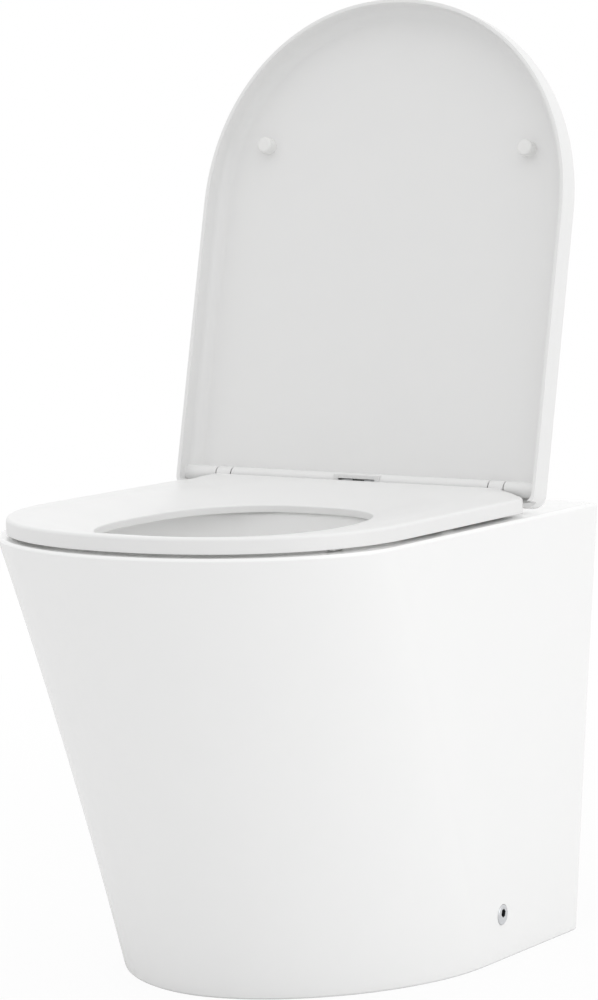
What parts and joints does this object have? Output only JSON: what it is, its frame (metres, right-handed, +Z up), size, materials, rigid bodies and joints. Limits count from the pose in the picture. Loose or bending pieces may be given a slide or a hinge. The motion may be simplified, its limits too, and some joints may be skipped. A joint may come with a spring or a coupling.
{
  "type": "toilet",
  "caption": "Back-to-wall floor-standing pan with a raked skirt, a slim soft-close seat and a wrap-over lid that stands open.",
  "frame": {"origin": "on the floor, at the middle of the toilet's width and of its depth from the wall to the front of the rim", "axes": "+Z up, +Y from the front of the pan to the wall, +X to the right seen from the front; the pan is the same on both sides of X = 0"},
  "size_m": [0.372, 0.557, 0.859],
  "materials": {
    "china": "gloss",
    "seat_plastic": "gloss",
    "buffer_plastic": "satin",
    "hinge_plastic": "satin",
    "inner_plastic": "matte",
    "rubber": "matte",
    "steel": "satin",
    "chrome": "polished"
  },
  "bodies": {
    "pan_body": {"pan": "china", "hinge_bar": "hinge_plastic", "latch_spring": "steel", "lid_damper": "inner_plastic", "seat_damper": "inner_plastic", "hinge_post_left": "steel", "hinge_post_right": "steel", "hinge_gasket_left": "rubber", "hinge_gasket_right": "rubber", "deck_bush_left": "rubber", "deck_bush_right": "rubber", "hinge_nut_left": "steel", "hinge_nut_right": "steel", "floor_bracket_left": "steel", "floor_bracket_right": "steel", "cam_sleeve_left": "inner_plastic", "cam_sleeve_right": "inner_plastic"},
    "lid_body": {"lid": "seat_plastic", "lid_buffer_left": "buffer_plastic", "lid_buffer_right": "buffer_plastic", "lid_damper_shaft": "steel", "lid_pivot_bush": "inner_plastic"},
    "seat_body": {"seat_ring": "seat_plastic", "seat_buffer_front_left": "buffer_plastic", "seat_buffer_front_right": "buffer_plastic", "seat_buffer_rear_left": "buffer_plastic", "seat_buffer_rear_right": "buffer_plastic", "seat_damper_shaft": "steel", "seat_pivot_bush": "inner_plastic"},
    "button_body": {"release_button": "hinge_plastic"},
    "left_rod_body": {"latch_rod_left": "steel"},
    "right_rod_body": {"latch_rod_right": "steel"},
    "left_cam_body": {"side_cam_left": "chrome"},
    "right_cam_body": {"side_cam_right": "chrome"}
  },
  "joints": [
    {"name": "lid_hinge", "type": "hinge", "parent": "pan_body", "child": "lid_body", "pos_m": [0, 0.1665, 0.421], "axis": [-1, 0, 0], "range_deg": [-102.2, 0]},
    {"name": "seat_hinge", "type": "hinge", "parent": "pan_body", "child": "seat_body", "pos_m": [0, 0.1665, 0.421], "axis": [-1, 0, 0], "range_deg": [0, 101.9]},
    {"name": "button_press", "type": "slide", "parent": "pan_body", "child": "button_body", "axis": [0, 1, 0], "range_m": [0, 0.002], "stiffness_N_per_m": 400, "springref_m": -0.004, "deforming": ["latch_spring"]},
    {"name": "left_rod_slide", "type": "slide", "parent": "pan_body", "child": "left_rod_body", "axis": [1, 0, 0], "range_m": [0, 0.002]},
    {"name": "right_rod_slide", "type": "slide", "parent": "pan_body", "child": "right_rod_body", "axis": [-1, 0, 0], "range_m": [0, 0.002]},
    {"name": "left_cam_turn", "type": "hinge", "parent": "pan_body", "child": "left_cam_body", "pos_m": [-0.15, 0.1235, 0.043], "axis": [-1, 0, 0], "range_deg": [0, 90]},
    {"name": "right_cam_turn", "type": "hinge", "parent": "pan_body", "child": "right_cam_body", "pos_m": [0.15, 0.1235, 0.043], "axis": [1, 0, 0], "range_deg": [0, 90]}
  ],
  "couplings": [
    {"joint": "left_rod_slide", "follows": "button_press", "ratio": 1},
    {"joint": "right_rod_slide", "follows": "button_press", "ratio": 1}
  ]
}
